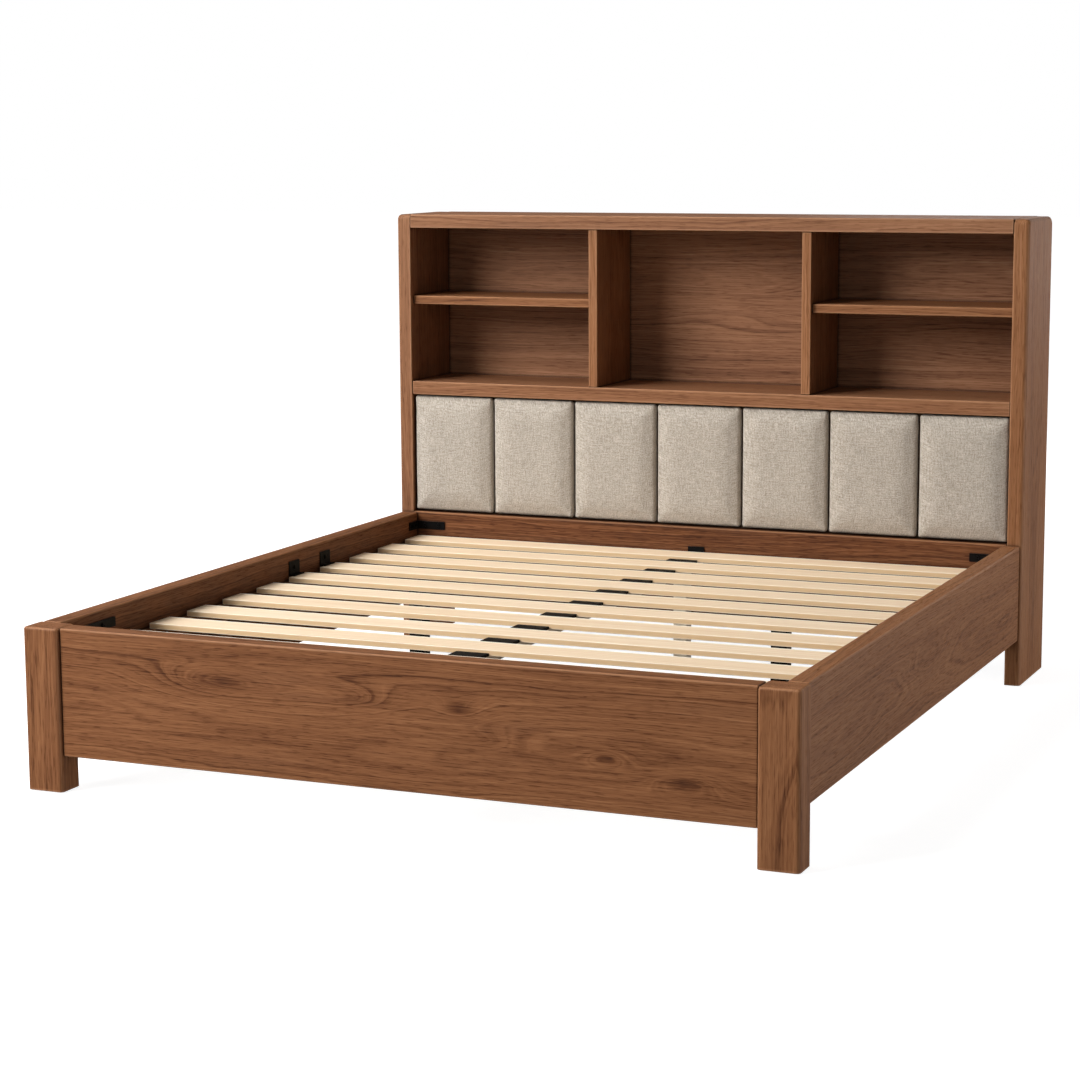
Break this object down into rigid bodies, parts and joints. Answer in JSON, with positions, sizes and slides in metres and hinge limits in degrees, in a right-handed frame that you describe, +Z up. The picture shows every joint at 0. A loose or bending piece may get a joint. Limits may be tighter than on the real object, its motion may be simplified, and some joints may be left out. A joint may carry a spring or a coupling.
{
  "type": "bed frame",
  "caption": "Wooden bed frame with a bookcase headboard, padded back band, side rails, footboard, slatted base and steel support legs on levelling feet.",
  "frame": {"origin": "on the floor under the middle of the bed's outer box", "axes": "+X to the right seen from the foot of the bed, +Y from foot to head, +Z up"},
  "size_m": [1.98, 2.38, 1.34],
  "materials": {
    "walnut": "satin oiled, mid brown with darker streaks",
    "slat_wood": "planed pale softwood, clear matt finish",
    "plywood": "unfinished",
    "linen": "heathered linen weave over foam",
    "black_steel": "matt black powder coat",
    "cream_steel": "satin cream powder coat",
    "black_plastic": "fine moulded texture",
    "felt": "pressed felt",
    "beech": "unfinished, turned",
    "zinc": "zinc plated"
  },
  "bodies": {
    "bed_frame": {"left_head_post": "walnut", "left_foot_post": "walnut", "left_side_rail": "walnut", "left_divider": "walnut", "left_shelf": "walnut", "left_slat_ledger": "walnut", "right_head_post": "walnut", "right_foot_post": "walnut", "right_side_rail": "walnut", "right_divider": "walnut", "right_shelf": "walnut", "right_slat_ledger": "walnut", "headboard_top_panel": "walnut", "bookcase_base_shelf": "walnut", "head_rail": "walnut", "footboard": "walnut", "bookcase_back_panel": "walnut", "lower_back_panel": "walnut", "slat_01": "slat_wood", "slat_02": "slat_wood", "slat_03": "slat_wood", "slat_04": "slat_wood", "slat_05": "slat_wood", "slat_06": "slat_wood", "slat_07": "slat_wood", "slat_08": "slat_wood", "slat_09": "slat_wood", "slat_10": "slat_wood", "slat_11": "slat_wood", "pad_backing_board": "plywood", "headboard_pad_1": "linen", "headboard_pad_2": "linen", "headboard_pad_3": "linen", "headboard_pad_4": "linen", "headboard_pad_5": "linen", "headboard_pad_6": "linen", "headboard_pad_7": "linen", "left_slat_leg": "black_steel", "right_slat_leg": "black_steel", "head_left_corner_bracket": "black_steel", "head_right_corner_bracket": "black_steel", "foot_left_corner_bracket": "black_steel", "foot_right_corner_bracket": "black_steel", "head_beam_hanger": "black_steel", "foot_beam_hanger": "black_steel", "slat_clips": "black_steel", "fixing_bolts": "black_steel", "centre_beam": "cream_steel", "head_centre_leg": "cream_steel", "foot_centre_leg": "cream_steel", "slat_spacers": "black_plastic", "floor_glides": "felt", "dowels": "beech", "slat_pegs": "beech", "ledger_screws": "zinc", "backing_screws": "zinc"},
    "head_centre_levelling_foot": {"head_centre_leg_foot": "black_plastic"},
    "foot_centre_levelling_foot": {"foot_centre_leg_foot": "black_plastic"},
    "left_slat_levelling_foot": {"left_slat_leg_foot": "black_plastic"},
    "right_slat_levelling_foot": {"right_slat_leg_foot": "black_plastic"}
  },
  "joints": [
    {"name": "head_centre_levelling_foot_travel", "type": "slide", "parent": "bed_frame", "child": "head_centre_levelling_foot", "axis": [0, 0, 1], "range_m": [-0.008, 0.01]},
    {"name": "foot_centre_levelling_foot_travel", "type": "slide", "parent": "bed_frame", "child": "foot_centre_levelling_foot", "axis": [0, 0, 1], "range_m": [-0.008, 0.01]},
    {"name": "left_slat_levelling_foot_travel", "type": "slide", "parent": "bed_frame", "child": "left_slat_levelling_foot", "axis": [0, 0, 1], "range_m": [-0.008, 0.01]},
    {"name": "right_slat_levelling_foot_travel", "type": "slide", "parent": "bed_frame", "child": "right_slat_levelling_foot", "axis": [0, 0, 1], "range_m": [-0.008, 0.01]}
  ]
}
